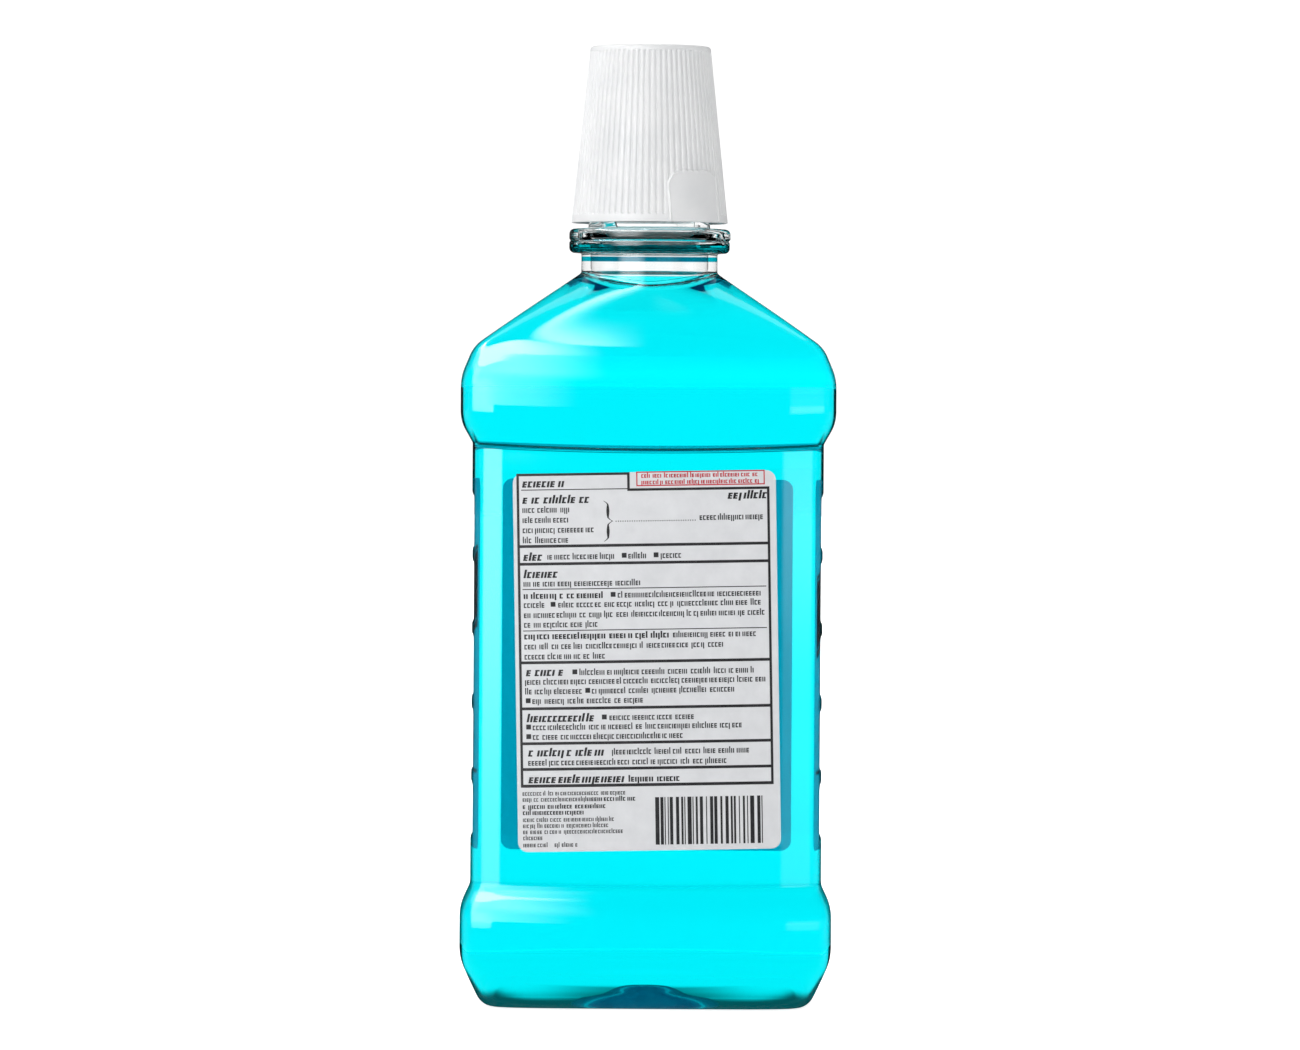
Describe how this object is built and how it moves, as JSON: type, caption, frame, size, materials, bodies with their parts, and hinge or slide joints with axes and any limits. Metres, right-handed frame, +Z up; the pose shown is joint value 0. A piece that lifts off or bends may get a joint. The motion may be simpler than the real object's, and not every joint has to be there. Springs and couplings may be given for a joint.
{
  "type": "mouthwash bottle",
  "caption": "Clear upright bottle of liquid with side grips, two labels and a ribbed squeeze-and-turn cap that holds a dosing cup.",
  "frame": {"origin": "on the ground under the middle of the bottle", "axes": "+Z up along the bottle and cap axis, +X across the width, -Y towards the rear label that the picture shows"},
  "size_m": [0.102, 0.0676, 0.26],
  "materials": {
    "clear_body": "gloss",
    "mouthwash": "gloss",
    "front_film": "gloss",
    "rear_film": "satin",
    "foil": "satin",
    "foam_ring": "matte",
    "cup_plastic": "satin",
    "cap_plastic": "satin"
  },
  "bodies": {
    "body": {"bottle": "clear_body", "liquid": "mouthwash", "front_label": "front_film", "rear_label": "rear_film", "mouth_seal": "foil"},
    "liner": {"sealing_ring": "foam_ring"},
    "cap": {"dosing_cup": "cup_plastic", "cap_shell": "cap_plastic"}
  },
  "joints": [
    {"name": "cap_rise", "type": "slide", "parent": "body", "child": "liner", "axis": [0, 0, 1], "range_m": [0, 0.00526]},
    {"name": "cap_turn", "type": "hinge", "parent": "liner", "child": "cap", "pos_m": [0, 0, 0.236], "axis": [0, 0, 1], "range_deg": [0, 450]}
  ],
  "couplings": [
    {"joint": "cap_rise", "follows": "cap_turn", "m_per_rad": 0.00066845}
  ]
}
